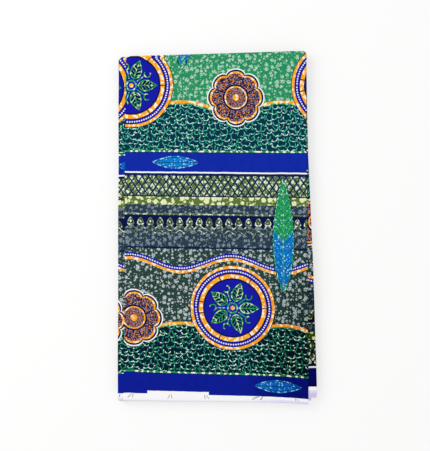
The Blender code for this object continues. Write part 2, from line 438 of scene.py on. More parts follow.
def cloth_mesh(name, stations, rows, material):
    """One cloth mesh with its two UV maps, given its thickness by Solidify."""
    found = [station_points(panel, share, angle, rows) for panel, share, angle in stations]
    points = np.array([points for points, _ in found])
    flat = np.array([flat for _, flat in found])
    across, along = points.shape[1], points.shape[0]
    mesh = bpy.data.meshes.new(name)
    index = np.arange(along * across).reshape(along, across)
    quads = np.stack([index[:-1, :-1], index[1:, :-1], index[1:, 1:], index[:-1, 1:]], axis=-1).reshape(-1, 4)
    mesh.from_pydata(points.reshape(-1, 3).tolist(), [], quads.tolist())
    add_map(mesh, "Cloth", flat, quads)
    way = flat[:, 0, 0]
    by_length = (way - way[0]) / (way[-1] - way[0])
    columns = 0.5 * by_length + 0.5 * np.linspace(0.0, 1.0, along)
    square = np.meshgrid(columns, np.linspace(0.0, 1.0, across), indexing="ij")
    add_map(mesh, "OFBake", np.stack(square, axis=-1), quads)
    mesh.shade_smooth()
    mesh.materials.append(material)
    piece = bpy.data.objects.new(name, mesh)
    bpy.context.scene.collection.objects.link(piece)
    shell = piece.modifiers.new("thickness", "SOLIDIFY")
    shell.thickness = CLOTH_THICKNESS
    shell.offset = 0.0
    print(name, "stations", along, "rows", across, "quads", len(quads))
    return piece


# %% [markdown]
# ## The camera
#
# The photo looks straight down, so the camera hangs straight above, level with the photo's middle, and its
# lens frames as many millimetres as the photo does. It could hang lower with a shorter lens, but then the
# pile's sides would show, and in the photo they don't.

# %% Camera
PHOTO_WIDTH, PHOTO_HEIGHT = 430, 451
PHOTO_MIDDLE = (217.5, 228.0)
MM_PER_PIXEL = 1.671
CAMERA_HEIGHT = 1.9
SENSOR = 36.0
pile_top = pile_box[1][2]
camera_data = bpy.data.cameras.new("camera")
camera = bpy.data.objects.new("camera", camera_data)
bpy.context.scene.collection.objects.link(camera)
camera.location = (
    (PHOTO_WIDTH / 2.0 - PHOTO_MIDDLE[0]) * MM_PER_PIXEL * MM,
    (PHOTO_MIDDLE[1] - PHOTO_HEIGHT / 2.0) * MM_PER_PIXEL * MM,
    pile_top + CAMERA_HEIGHT,
)
camera_data.sensor_width = SENSOR
camera_data.lens = SENSOR * CAMERA_HEIGHT / (PHOTO_HEIGHT * MM_PER_PIXEL * MM)
bpy.context.scene.camera = camera
print("lens in mm:", round(camera_data.lens, 1))

# %% [markdown]
# ## Floor and light
#
# The photo's light comes evenly from all sides, and its white ground is burnt out. The cloth's edge throws
# almost no shadow, only a faint darkening close by. A pale floor that glows like a lit table, a bright sky
# and one broad lamp give that. A plain white floor would need so much light that the dyes would burn out
# too.

# %% Floor and light
bpy.context.scene.view_settings.view_transform = "Standard"
FLOOR_SIZE = 6.0
FLOOR_SHADE = 0.32
FLOOR_GLOW = 0.61
SKY_STRENGTH = 0.9
floor_mesh = bpy.data.meshes.new("floor")
corners = [(sx * FLOOR_SIZE, sy * FLOOR_SIZE, 0.0) for sx, sy in ((-1, -1), (1, -1), (1, 1), (-1, 1))]
floor_mesh.from_pydata(corners, [], [(0, 1, 2, 3)])
floor = bpy.data.objects.new("floor", floor_mesh)
bpy.context.scene.collection.objects.link(floor)
floor_material = bpy.data.materials.new("lit white table")
floor_material.use_nodes = True
floor_shader = floor_material.node_tree.nodes["Principled BSDF"]
floor_shader.inputs["Base Color"].default_value = (FLOOR_SHADE, FLOOR_SHADE, FLOOR_SHADE, 1.0)
floor_shader.inputs["Roughness"].default_value = 1.0
floor_shader.inputs["Specular IOR Level"].default_value = 0.0
floor_shader.inputs["Emission Color"].default_value = (1.0, 0.995, 0.99, 1.0)
floor_shader.inputs["Emission Strength"].default_value = FLOOR_GLOW
floor_mesh.materials.append(floor_material)

world = bpy.data.worlds.new("soft sky")
bpy.context.scene.world = world
world.use_nodes = True
sky = world.node_tree.nodes["Background"]
sky.inputs["Color"].default_value = (1.0, 1.0, 1.0, 1.0)
sky.inputs["Strength"].default_value = SKY_STRENGTH


def lamp(name, place, aim, size, power):
    """A broad square lamp that points at a place."""
    data = bpy.data.lights.new(name, "AREA")
    data.size = size
    data.energy = power
    light = bpy.data.objects.new(name, data)
    light.location = place
    light.rotation_euler = (Vector(aim) - Vector(place)).to_track_quat("-Z", "Y").to_euler()
    bpy.context.scene.collection.objects.link(light)
    return light


window = lamp("window lamp", place=(-1.5, 0.9, 1.5), aim=(0.0, 0.0, 0.0), size=1.4, power=26.0)
print("lamp, metres from the pile:", round(window.location.length, 2))

# %% [markdown]
# ## Sums on shader sockets
#
# A printed pattern is many small sums on a place. Written as nodes by hand they are hard to follow, so a
# small class wraps a socket, and an ordinary expression on it adds the Math nodes.

# %% Sums on sockets
class Wire:
    """An output socket of a shader's tree, on which sums can be written."""

    def __init__(self, tree, socket):
        self.tree = tree
        self.socket = socket

    def __add__(self, other):
        return maths("ADD", self, other)

    def __radd__(self, other):
        return maths("ADD", other, self)

    def __sub__(self, other):
        return maths("SUBTRACT", self, other)

    def __rsub__(self, other):
        return maths("SUBTRACT", other, self)

    def __mul__(self, other):
        return maths("MULTIPLY", self, other)

    def __rmul__(self, other):
        return maths("MULTIPLY", other, self)

    def __truediv__(self, other):
        return maths("DIVIDE", self, other)

    def __rtruediv__(self, other):
        return maths("DIVIDE", other, self)

    def __lt__(self, other):
        return maths("LESS_THAN", self, other)

    def __gt__(self, other):
        return maths("GREATER_THAN", self, other)

    def __abs__(self):
        return maths("ABSOLUTE", self)


# %% [markdown]
# ## Nodes
#
# Every node is made in one way: its type, its settings, and then what its sockets get. Math and Vector Math
# nodes have short names of their own, because the print uses hundreds of them. Colours go through Mix
# nodes.

# %% Nodes from values and wires
def add_node(tree, kind, settings=None, inputs=None):
    """Adds one node: its settings first, then the values or wires of its sockets. Gives the node."""
    node = tree.nodes.new(kind)
    for name, value in (settings or {}).items():
        setattr(node, name, value)
    for name, value in (inputs or {}).items():
        if isinstance(value, Wire):
            tree.links.new(value.socket, node.inputs[name])
        else:
            node.inputs[name].default_value = value
    return node


def maths(operation, *values):
    """One Math node on wires and numbers."""
    tree = next(value.tree for value in values if isinstance(value, Wire))
    node = add_node(tree, "ShaderNodeMath", {"operation": operation}, dict(enumerate(values)))
    return Wire(tree, node.outputs[0])


def vectors(operation, *values):
    """One Vector Math node on wires and vectors. A length or a dot product is a number."""
    tree = values[0].tree
    node = add_node(tree, "ShaderNodeVectorMath", {"operation": operation}, dict(enumerate(values)))
    return Wire(tree, node.outputs["Value" if operation in ("LENGTH", "DOT_PRODUCT") else "Vector"])


def parts_of(vector):
    """The first two numbers of a vector or of a colour."""
    node = add_node(vector.tree, "ShaderNodeSeparateXYZ", {}, {0: vector})
    return [Wire(vector.tree, socket) for socket in node.outputs[:2]]


# %% [markdown]
# ## Masks
#
# A mask is a number that is 1 inside a shape and 0 outside it. Colour ramps could make soft masks, but hard
# edges suit a print, because each dye either took or didn't, and the render's own sampling smooths them.

# %% Masks from numbers
def near(value, middle, reach):
    """1 where a value is within reach of the middle."""
    return maths("COMPARE", value, middle, reach)


def back_and_forth(value, span):
    """A value that climbs to span and comes back again."""
    return maths("PINGPONG", value, span)


def wrapped(value, low, high):
    """A value brought into a range by whole turns."""
    return maths("WRAP", value, high, low)


def beyond(value, low, high):
    """1 where a value is under the low mark or over the high one."""
    return either(value < low, value > high)


def both(first, second):
    """1 where both masks are 1."""
    return maths("MULTIPLY", first, second)


def either(first, second):
    """1 where one mask or the other is 1."""
    return maths("MAXIMUM", first, second)


def one_of(below, above, mask):
    """One of two masks: the first where the third is 0, and the second where it is 1."""
    return either(both(below, 1.0 - mask), both(above, mask))


# %% [markdown]
# ## Colours
#
# A colour in a photo is stored so that it looks right on a screen, and a shader counts in amounts of light,
# so each has to be turned into the other's numbers. The photo is lit so strongly that white burns out, and
# the true dyes are that much darker. One Mix node paints a colour over another. It has sockets for each
# kind of value, all with the same names, so the ones for colours are picked by their numbers.

# %% Colours as a shader wants them
EXPOSURE = 1.2
MIX_MASK, MIX_BELOW, MIX_ABOVE, MIX_RESULT = 0, 6, 7, 2


def linear(red, green, blue):
    """A colour seen in the photo, given as 0 to 255, as the dye that the shader wants."""
    shares = [value / 255.0 for value in (red, green, blue)]
    lit = [v / 12.92 if v <= 0.04045 else ((v + 0.055) / 1.055) ** 2.4 for v in shares]
    return tuple(v / EXPOSURE for v in lit) + (1.0,)


def painted(colour, over, mask, blend="MIX"):
    """A colour with another painted over it, or blended with it, where the mask is 1."""
    settings = {"data_type": "RGBA", "blend_type": blend}
    inputs = {MIX_MASK: mask, MIX_BELOW: colour, MIX_ABOVE: over}
    node = add_node(mask.tree, "ShaderNodeMix", settings, inputs)
    return Wire(mask.tree, node.outputs[MIX_RESULT])


print("middle grey as the shader wants it:", round(linear(128, 128, 128)[0], 3))

# %% [markdown]
# ## Dyes
#
# Wax prints use few, strong dyes, and resist leaves white or pale marks in them. Each colour here is one
# dye, or one dye over another. One table holds them all, so that a dye can be corrected against the photo
# in one place.

# %% Dyes
DYES = {
    "light green": linear(32, 142, 94),
    "soft green": linear(56, 158, 110),
    "dark green": linear(44, 70, 66),
    "deep green": linear(30, 54, 50),
    "bubble on light": linear(178, 212, 192),
    "pale moss": linear(150, 208, 128),
    "bubble on dark": linear(188, 200, 202),
    "moss": linear(142, 162, 120),
    "royal blue": linear(17, 42, 166),
    "border blue": linear(12, 29, 148),
    "lattice navy": linear(18, 34, 84),
    "ribbon": linear(24, 26, 166),
    "navy": linear(10, 22, 74),
    "vine ground": linear(8, 50, 74),
    "deep vine ground": linear(3, 30, 50),
    "vine": linear(70, 184, 150),
    "deep vine": linear(50, 154, 120),
    "pale vine": linear(230, 255, 236),
    "leaf": linear(44, 154, 92),
    "pale leaf": linear(206, 236, 186),
    "orange": linear(255, 171, 36),
    "cream": linear(255, 244, 214),
    "aubergine": linear(40, 28, 66),
    "lilac": linear(168, 160, 192),
    "stroke orange": linear(232, 142, 60),
    "turquoise": linear(4, 124, 206),
    "pale turquoise": linear(160, 226, 248),
    "feather green": linear(34, 160, 84),
    "feather shade": linear(16, 52, 110),
    "olive": linear(96, 122, 62),
    "deep olive": linear(78, 106, 52),
    "pale olive": linear(208, 220, 142),
    "pale strip": linear(238, 243, 196),
    "pale lattice": linear(228, 240, 230),
    "cream white": linear(248, 251, 236),
    "lace": linear(100, 124, 74),
    "pale lace": linear(228, 238, 206),
    "loop": linear(38, 58, 62),
    "slate": linear(46, 66, 80),
    "deep slate": linear(28, 48, 68),
    "pale slate": linear(134, 150, 160),
    "white": linear(250, 250, 250),
    "pale selvage": linear(249, 247, 253),
    # The selvage dye is the pale selvage darkened, as painted shade towards one corner.
    "selvage": linear(232, 224, 255),
    "ink": linear(66, 70, 108),
}
print("dyes:", len(DYES))

# %% [markdown]
# ## The repeat
#
# Across the cloth the print repeats every 368.6 mm: a ground, a slate band, a lace edge, a lattice, a white
# line and a blue band. Along the cloth the large motifs repeat every 340 mm, and each repeat up the cloth
# is moved on by half of that. Three coordinates carry this: how far along, how far up the repeat, and
# whether the repeat is one with the light or the dark ground. A fourth says how near a place is to the
# corner that painted shade darkens. A little noise bends the first two, as a hand-cut block wavers. A tiled
# picture would repeat as well, but it turns soft close by, while sums stay sharp at any size.

# %% Places on the print
REPEAT_ACROSS = 368.6
FIRST_REPEAT = 47.0
REPEAT_ALONG = 340.0
WAVER = 1.1
WAVER_SIZE = 18.0
SHADE_PITCH = 620.0
SHADE_REACH = (1.8, 0.7)
SHADE_FADE = (215.0, 60.0)


def noise(place, size, detail=1.0, output="Fac"):
    """Noise with features of about that size in millimetres."""
    inputs = {"Vector": place, "Scale": 1.0 / size, "Detail": detail}
    node = add_node(place.tree, "ShaderNodeTexNoise", {"noise_dimensions": "2D"}, inputs)
    return Wire(place.tree, node.outputs[output])


def shaken(flat, size, reach):
    """The flat place moved by noise, by 0 to the reach both along and across."""
    return vectors("MULTIPLY_ADD", noise(flat, size, output="Color"), (reach, reach, 0.0), flat)


def distance_of(aside, above):
    """How far a place is from a middle, from how far aside of it and how far above it is."""
    return maths("SQRT", aside * aside + above * above)


def print_places(tree):
    """The wires that every part of the print is drawn from, in millimetres on the flat cloth."""
    cloth = add_node(tree, "ShaderNodeUVMap", {"uv_map": "Cloth"})
    flat = vectors("MULTIPLY", Wire(tree, cloth.outputs[0]), (1.0 / MM, 1.0 / MM, 0.0))
    along, across = (part - WAVER / 2.0 for part in parts_of(shaken(flat, WAVER_SIZE, WAVER)))
    repeat = maths("FLOOR", (across - FIRST_REPEAT) / REPEAT_ACROSS)
    up = across - FIRST_REPEAT - repeat * REPEAT_ACROSS
    moved = along + repeat * (REPEAT_ALONG / 2.0)
    light = maths("FLOORED_MODULO", repeat, 2.0)
    # Painted shade: how near a place is to the darkened corner of its half, from 0 far off to 1 close by.
    aside = back_and_forth(along, SHADE_PITCH / 2.0) * SHADE_REACH[0]
    inward = back_and_forth(across, CLOTH_WIDTH / 2.0) * SHADE_REACH[1]
    inputs = {"Value": distance_of(aside, inward), "From Min": SHADE_FADE[0], "From Max": SHADE_FADE[1]}
    deep = add_node(tree, "ShaderNodeMapRange", {"interpolation_type": "SMOOTHSTEP"}, inputs)
    deep = Wire(tree, deep.outputs[0])
    places = {"flat": flat, "along": along, "across": across}
    return places | {"up": up, "moved": moved, "light": light, "deep": deep}


print("repeats across the cloth:", round((CLOTH_WIDTH - 2.0 * FIRST_REPEAT) / REPEAT_ACROSS, 2))


# %% [markdown]
# ## Bubbles
#
# The grounds are full of pale bubbles where wax kept the dye out. Cells of a Voronoi texture give them,
# each with its own size, most with a small hollow, and their edges are ragged. Scattered meshes would cost
# far more for the same look.

# %% Bubbles in cells
BUBBLE_RANDOMNESS = 0.8
RING_MIDDLE = 0.5
RING_GROWTH = 0.22
RING_HALF_WIDTH = 0.52


def voronoi(place, cell, shift, randomness):
    """A Voronoi texture with cells of that size in millimetres. Gives its node and the place it reads."""
    moved = vectors("ADD", place, (*shift, 0.0))
    inputs = {"Vector": moved, "Scale": 1.0 / cell, "Randomness": randomness}
    return add_node(place.tree, "ShaderNodeTexVoronoi", {"voronoi_dimensions": "2D"}, inputs), moved


def bubbles(place, cell, least, most, shift):
    """Pale rings and spots, one to a cell, of random size from least to most as shares of a cell."""
    cells, _ = voronoi(place, cell, shift, BUBBLE_RANDOMNESS)
    chance, other_chance = parts_of(Wire(place.tree, cells.outputs["Color"]))
    size = chance * (most - least) + least
    middle = size * (other_chance * RING_GROWTH + RING_MIDDLE)
    return near(Wire(place.tree, cells.outputs["Distance"]), middle, size * RING_HALF_WIDTH)


hollow = RING_MIDDLE + RING_GROWTH - RING_HALF_WIDTH
print("widest hollow, as a share of its bubble:", round(hollow / (hollow + 2.0 * RING_HALF_WIDTH), 2))

# %% [markdown]
# ## Vines
#
# The vines are short curves that sag like a smile, with pale tips, and slanted stems between them. Drawn
# one by one they would be thousands of curves, so they come from cells as the bubbles do. Each curve is the
# lower part of a ring round a point, one to a cell, and each leans its own way.

# %% Vines in cells
VINE_RANDOMNESS = 0.72
CURVE_RISE = 0.6
CURVE_ENDS = -0.30
TIPS_START = -0.91
STEM_SLANT = 1.2


def vine_curves(place, cell, radius, half_width, tilt, shift):
    """Short curves that sag like a smile, one to a cell, each tilted its own way, and their two tips."""
    cells, moved = voronoi(place, cell, shift, VINE_RANDOMNESS)
    offset = vectors("SUBTRACT", moved, Wire(place.tree, cells.outputs["Position"]))
    offset = vectors("ADD", offset, (0.0, -CURVE_RISE * radius, 0.0))
    ring = near(vectors("LENGTH", offset), radius, half_width)
    chance = Wire(place.tree, cells.outputs["Color"])
    facing = vectors("MULTIPLY_ADD", chance, (2.0 * tilt, 0.0, 0.0), (-tilt, 1.0, 0.0))
    lean = vectors("DOT_PRODUCT", offset, facing) / radius
    curve = both(ring, lean < CURVE_ENDS)
    return curve, both(curve, lean > TIPS_START)


def vine_stems(place, cell, half_length, half_width, shift):
    """Short slanted stems, one to a cell."""
    cells, moved = voronoi(place, cell, shift, VINE_RANDOMNESS)
    offset = vectors("SUBTRACT", moved, Wire(place.tree, cells.outputs["Position"]))
    aside, above = parts_of(offset)
    chance, _ = parts_of(Wire(place.tree, cells.outputs["Color"]))
    slanted = aside + above * (chance * 2.0 - 1.0) * STEM_SLANT
    return both(near(slanted, 0.0, half_width), near(above, 0.0, half_length))


print("a vine curve spans, degrees:", round(2.0 * math.degrees(math.acos(-CURVE_ENDS))))

# %% [markdown]
# ## Marks that the whole print shares
#
# A coarse noise gives the white patches that break every coloured line, and a fine one the strokes within a
# dye. All marks are made once and shared, since a shader's cost grows with every texture in it.

# %% Shared marks
RAGGED = 2.2
RAGGED_SIZE = 2.6
STROKE_SIZE = 1.7
GRAIN_STRETCH = (0.55, 1.3, 0.0)


def shared_marks(flat):
    """The marks that more than one part of the print uses."""
    ragged = shaken(flat, RAGGED_SIZE, RAGGED)
    curves, curve_tips = vine_curves(flat, cell=8.9, radius=4.7, half_width=0.73, tilt=1.6, shift=(3.7, 1.1))
    stems = vine_stems(flat, cell=9.6, half_length=3.4, half_width=0.62, shift=(13.0, 47.0))
    patch = noise(flat, 6.0)
    grain = noise(vectors("MULTIPLY", flat, GRAIN_STRETCH), STROKE_SIZE)
    return {
        "patch": patch > 0.57,
        "bright": patch > 0.54,
        "speck": noise(flat, 4.4) > 0.61,
        "drift": noise(flat, 34.0, detail=0.0),
        "mottle": noise(flat, 11.0, detail=3.0),
        "large": bubbles(ragged, cell=9.0, least=0.15, most=0.33, shift=(0.0, 0.0)),
        "small": bubbles(ragged, cell=4.8, least=0.00, most=0.24, shift=(31.0, 17.0)),
        "drops": bubbles(ragged, cell=10.5, least=0.14, most=0.42, shift=(5.0, 71.0)),
        "flecks": bubbles(ragged, cell=6.6, least=0.10, most=0.40, shift=(47.0, 23.0)),
        "whole": grain < 0.60,
        "vines": either(curves, stems),
        "vine tips": both(curve_tips, patch > 0.41),
        "strokes": noise(flat, STROKE_SIZE) > 0.60,
    }


# %% [markdown]
# ## The grounds
#
# Every second repeat has a light green ground, and the others a dark one. Each has small bubbles, partly
# moss green, and large pale ones over them. Both are drawn by the same nodes, with dyes of their own.

# %% Light and dark ground
def paint_grounds(at, marks):
    """The light and the dark ground with their bubbles."""
    light = painted(DYES["light green"], DYES["soft green"], marks["strokes"])
    dark = painted(DYES["dark green"], DYES["deep green"], marks["strokes"])
    ground = painted(dark, light, at["light"])
    on_dark = painted(DYES["bubble on dark"], DYES["moss"], marks["patch"])
    on_light = painted(DYES["bubble on light"], DYES["pale moss"], marks["patch"])
    small = painted(on_dark, on_light, at["light"])
    large = painted(DYES["bubble on dark"], DYES["bubble on light"], at["light"])
    colour = painted(ground, small, marks["small"])
    return painted(colour, large, both(marks["large"], marks["whole"]))


# %% [markdown]
# ## The bands
#
# Between two grounds lie a slate band with bubbles, a lace edge of round loops on navy, a slate strip, an
# olive strip with pale drops, a lattice of navy lines on olive, a white line and the plain blue band. Each
# is painted over the ones before it, as a printer lays one colour over another, so no shape has to be cut
# out of the next. A band is given by its foot, and a line by a pair: its middle and half its width.

# %% Slate band and lace edge
SLATE_FOOT = 211.5
SLATE_LINE = (210.8, 1.3)
WAVY_LINE = (237.2, 0.6)
WAVE_RISE = 2.4
LOOP_PITCH = 16.4
LOOP_HEIGHT = 254.4
LOOP_RADIUS = 4.2
LOOP_SQUASH = 0.76
LOOP_TAPER = 0.085
LOOP_EYE = (-3.6, 1.3)
LOOP_NAVY = (0.3, 11.2)
FOOT_SLOPE = 0.98
FOOT_STEEPNESS = 0.72
LACE_LINE = (0.0, 0.70)
LACE_REACH = (-1.9, 12.0)
FRINGE = (266.1, 1.2)
FRINGE_LINE = (266.9, 0.5)
FRINGE_PITCH = 3.0
FRINGE_THREAD = 0.95


def patched(dye, pale, marks, mark="patch"):
    """A line's dye, broken by pale patches."""
    return painted(DYES[dye], DYES[pale], marks[mark])


def paint_slate(colour, at, marks):
    """The slate band with its bubbles, its navy line and the thin wavy line in it."""
    up = at["up"]
    slate = painted(DYES["slate"], DYES["deep slate"], marks["strokes"])
    slate = painted(slate, DYES["pale slate"], both(either(marks["large"], marks["small"]), marks["whole"]))
    colour = painted(colour, slate, up > SLATE_FOOT)
    colour = painted(colour, DYES["navy"], near(up, *SLATE_LINE))
    wave = maths("COSINE", at["along"] * (2.0 * math.pi / LOOP_PITCH))
    return painted(colour, patched("lace", "pale lace", marks), near(up - wave * WAVE_RISE, *WAVY_LINE))


def paint_lace(colour, at, marks):
    """The lace edge: loops like small onions that hang in navy, with a fringed line above."""
    up = at["up"]
    lace = patched("lace", "pale lace", marks, "bright")
    aside = back_and_forth(at["along"], LOOP_PITCH / 2.0)
    above = up - LOOP_HEIGHT
    loop = distance_of(aside * (above * LOOP_TAPER + 1.0), above * LOOP_SQUASH) - LOOP_RADIUS
    foot = (above + LOOP_RADIUS + aside * FOOT_SLOPE) * FOOT_STEEPNESS
    edge = maths("MINIMUM", loop, foot)
    colour = painted(colour, DYES["navy"], both(edge > 0.0, near(above, *LOOP_NAVY)))
    colour = painted(colour, DYES["loop"], loop < 0.0)
    colour = painted(colour, lace, both(near(edge, *LACE_LINE), near(above, *LACE_REACH)))
    colour = painted(colour, lace, near(loop, *LOOP_EYE))
    fringe = both(near(up, *FRINGE), back_and_forth(at["along"], FRINGE_PITCH / 2.0) < FRINGE_THREAD)
    return painted(colour, lace, either(fringe, near(up, *FRINGE_LINE)))


print("loops across the top panel:", round(panel_lengths[0] / LOOP_PITCH, 1))

# %% [markdown]
# ## The lattice and the lines
#
# The lattice is two sets of slanted lines, each from one coordinate that goes back and forth. The straight
# lines need only a distance up the repeat. Dashes change their length slowly, as hand-cut blocks give them.

# %% Lattice, blue band and dashes
OLIVE_FOOT = 282.2
LATTICE_FOOT = 296.4
LATTICE_FOOT_LINE = (296.4, 1.0)
LATTICE_TOP_LINE = (332.6, 2.1)
LATTICE_PITCH = 11.5
LATTICE_SLOPE = 0.70
LATTICE_LINE = 1.35
BLUE_FOOT = 335.0
WHITE_LINE = (335.8, 1.25)
BORDERS = (47.0, 1121.4)
DASHED_LINE = (2.4, 1.25)
NAVY_LINE = (0.6, 0.55)
DASH_PITCH = 12.0
DASH_DRIFT = 22.0
DASH_LEAST = 1.2
DASH_GROWTH = 2.2
DASH_CHANGE = 60.0


def paint_lattice(colour, at, marks):
    """The olive strip with pale drops and the lattice above it."""
    up, along = at["up"], at["along"]
    olive = painted(DYES["olive"], DYES["deep olive"], marks["strokes"])
    olive = painted(olive, DYES["pale olive"], marks["small"])
    in_lattice = up > LATTICE_FOOT
    pale = painted(DYES["pale strip"], DYES["pale lattice"], in_lattice)
    pale = painted(DYES["pale olive"], pale, marks["whole"])
    pale_marks = one_of(marks["drops"], marks["flecks"], in_lattice)
    olive = painted(olive, pale, pale_marks)
    colour = painted(colour, olive, up > OLIVE_FOOT)
    first = back_and_forth(up * LATTICE_SLOPE + along, LATTICE_PITCH / 2.0) < LATTICE_LINE
    second = back_and_forth(along - up * LATTICE_SLOPE, LATTICE_PITCH / 2.0) < LATTICE_LINE
    slanted = both(either(first, second), in_lattice)
    borders = either(near(up, *LATTICE_FOOT_LINE), near(up, *LATTICE_TOP_LINE))
    return painted(colour, DYES["lattice navy"], either(slanted, borders))


def paint_blue_band(colour, at, marks):
    """The plain blue band with its white line, and the border beside each selvage."""
    up = at["up"]
    colour = painted(colour, DYES["royal blue"], up > BLUE_FOOT)
    colour = painted(colour, DYES["white"], near(up, *WHITE_LINE))
    return painted(colour, DYES["border blue"], beyond(at["across"], *BORDERS))


def paint_dashes(colour, at, marks):
    """The dashed green line over a navy one that starts each ground."""
    length = back_and_forth(marks["drift"] * DASH_CHANGE, DASH_GROWTH) + DASH_LEAST
    dashes = back_and_forth(at["along"] + marks["drift"] * DASH_DRIFT, DASH_PITCH / 2.0) < length
    dashed = painted(DYES["leaf"], DYES["cream white"], dashes)
    colour = painted(colour, dashed, near(at["up"], *DASHED_LINE))
    return painted(colour, DYES["navy"], near(at["up"], *NAVY_LINE))


print("diamonds of the lattice across the top panel:", round(panel_lengths[0] / LATTICE_PITCH, 1))

# %% [markdown]
# ## The hills of vines
#
# Each ground carries hills filled with small vines on navy, under a green line and an orange rim. A hill is
# all that lies within one distance of a point below it, so its rim and its line follow from the same
# number, and stay even all the way. On the dark ground the hills have deeper dyes.

# %% Hills
HILL_REACH = 85.0
HILL_RADIUS = 116.0
HILL_MIDDLE = -34.0
HILL_ALONG = 130.0
HILL_RIM = (3.0, 2.3)
HILL_LINE = (-0.2, 0.75)
HILL_EDGE = 0.8


def paint_hills(colour, at, marks):
    """Vine hills along the foot of a ground, with their rim."""
    aside = wrapped(at["moved"] - HILL_ALONG, -HILL_REACH, HILL_REACH)
    over = distance_of(aside, at["up"] - HILL_MIDDLE) - HILL_RADIUS
    ground = painted(DYES["deep vine ground"], DYES["vine ground"], at["light"])
    vine = painted(DYES["deep vine"], DYES["vine"], at["light"])
    vines = painted(ground, vine, marks["vines"])
    vines = painted(vines, DYES["pale vine"], marks["vine tips"])
    colour = painted(colour, patched("orange", "cream", marks), near(over, *HILL_RIM))
    colour = painted(colour, vines, over < HILL_EDGE)
    return painted(colour, patched("leaf", "pale leaf", marks), near(over, *HILL_LINE))


print("hills stand every mm:", 2.0 * HILL_REACH)

# %% [markdown]
# ## The ribbon
#
# A blue ribbon with a row of white dots waves along the top of each ground, with an orange edge below it.
# One sine bends the distance up the repeat, and the ribbon is then drawn as straight bands.

# %% Dotted ribbon
RIBBON_HEIGHT = 187.4
RIBBON_SWAY = 11.0
RIBBON_BAND = (0.0, 3.7)
RIBBON_EDGE = (-6.0, 2.4)
DOT_BAND = (0.0, 1.1)
DOT_PITCH = 4.1
DOT_REACH = 1.15


def paint_dotted(colour, along, over):
    """A ribbon with its row of dots, from how far along it and how far off its middle."""
    colour = painted(colour, DYES["ribbon"], near(over, *RIBBON_BAND))
    dots = both(near(over, *DOT_BAND), back_and_forth(along, DOT_PITCH / 2.0) < DOT_REACH)
    return painted(colour, DYES["white"], dots)


def paint_ribbon(colour, at, marks):
    """The waving ribbon with the orange edge below it."""
    sway = maths("SINE", at["moved"] * (2.0 * math.pi / (REPEAT_ALONG / 2.0)))
    over = at["up"] - RIBBON_HEIGHT - sway * RIBBON_SWAY
    colour = painted(colour, patched("orange", "cream", marks), near(over, *RIBBON_EDGE))
    return paint_dotted(colour, at["moved"], over)


print("dots in a wave of the ribbon:", round(REPEAT_ALONG / 2.0 / DOT_PITCH))

# %% [markdown]
# ## The blue disc
#
# Two round motifs take turns: a blue disc with a wreath of leaves inside orange rims, and a brown flower.
# Both are drawn from the distance and the angle round their middle, so that rims, dots and ticks are only
# ranges of one or the other. The dots are the ribbon's own, laid round a ring.

# %% The disc's rims
DISC_ALONG, DISC_HEIGHT = 215.0, 112.0
DISC_REACH = 71.0
OUTER_RIM = (67.6, 2.3)
DOTTED_RING = 61.0
TICKED_RIM = (52.6, 3.4)
TICK_SPACING = 52.0
TICK_HALF_WIDTH = 0.9
DISC_FIELD = 47.6
INNER_LINE = (48.0, 1.3)


def aside_of(at, middle):
    """How far aside of a motif's middle a place is. The motif comes once in each repeat along the cloth."""
    return wrapped(at["moved"] - middle, -REPEAT_ALONG / 2.0, REPEAT_ALONG / 2.0)


def round_places(at, middle, height):
    """Distance from a motif's middle and angle round it."""
    aside = aside_of(at, middle)
    above = at["up"] - height
    return distance_of(aside, above), maths("ARCTAN2", above, aside)


def paint_rims(colour, distance, angle, marks):
    """The disc's rims from the outside in: orange, dotted blue, navy, and orange with navy ticks."""
    orange = patched("orange", "cream", marks)
    colour = painted(colour, DYES["navy"], distance < DISC_REACH)
    colour = painted(colour, orange, near(distance, *OUTER_RIM))
    colour = paint_dotted(colour, angle * DOTTED_RING, distance - DOTTED_RING)
    between_ticks = back_and_forth(angle * TICKED_RIM[0], TICK_SPACING / 2.0) > TICK_HALF_WIDTH
    colour = painted(colour, orange, both(near(distance, *TICKED_RIM), between_ticks))
    colour = painted(colour, DYES["ribbon"], distance < DISC_FIELD)
    return painted(colour, DYES["navy"], near(distance, *INNER_LINE))


print("dots round the disc:", round(2.0 * math.pi * DOTTED_RING / DOT_PITCH))

# %% [markdown]
# ## The wreath
#
# Five leaves stand in the disc, with a curl between each two. The angle is wrapped, so one leaf gives all
# five, and the distance from its spoke is folded over, so both halves of the leaf are alike.

# %% The disc's leaves
DISC_LEAVES = 5
LEAF_FOOT = 11.0
LEAF_LENGTH = 33.0
LEAF_HALF_WIDTH = 10.0
LEAF_FULLEST = 0.8
LEAF_OUTLINE = (-0.9, 1.0)
LEAF_NAVY = 1.1
VEIN_PITCH = 6.0
VEIN_SLANT = 0.9
VEIN_HALF_WIDTH = 0.7
VEIN_INSET = 2.2
LEAF_RIB = (24.5, 14.0)
LEAF_RIB_HALF_WIDTH = 0.75


def clamped(value):
    """A value kept between 0 and 1."""
    return maths("MAXIMUM", maths("MINIMUM", value, 1.0), 0.0)


def paint_leaf(colour, distance, spoke, dye):
    """A leaf along its spoke, with its outline, its rib and its slanted veins."""
    share = clamped((distance - LEAF_FOOT) / LEAF_LENGTH)
    leaf = spoke - maths("SINE", maths("POWER", share, LEAF_FULLEST) * math.pi) * LEAF_HALF_WIDTH
    on_leaf = near(distance, LEAF_FOOT + LEAF_LENGTH / 2.0, LEAF_LENGTH / 2.0)
    slanted = maths("FLOORED_MODULO", distance - spoke * VEIN_SLANT, VEIN_PITCH)
    vein = near(slanted, VEIN_PITCH / 2.0, VEIN_HALF_WIDTH)
    colour = painted(colour, DYES["navy"], both(leaf < LEAF_NAVY, on_leaf))
    colour = painted(colour, dye, both(both(vein, leaf < -VEIN_INSET), on_leaf))
    colour = painted(colour, dye, both(near(leaf, *LEAF_OUTLINE), on_leaf))
    return painted(colour, dye, both(spoke < LEAF_RIB_HALF_WIDTH, near(distance, *LEAF_RIB)))


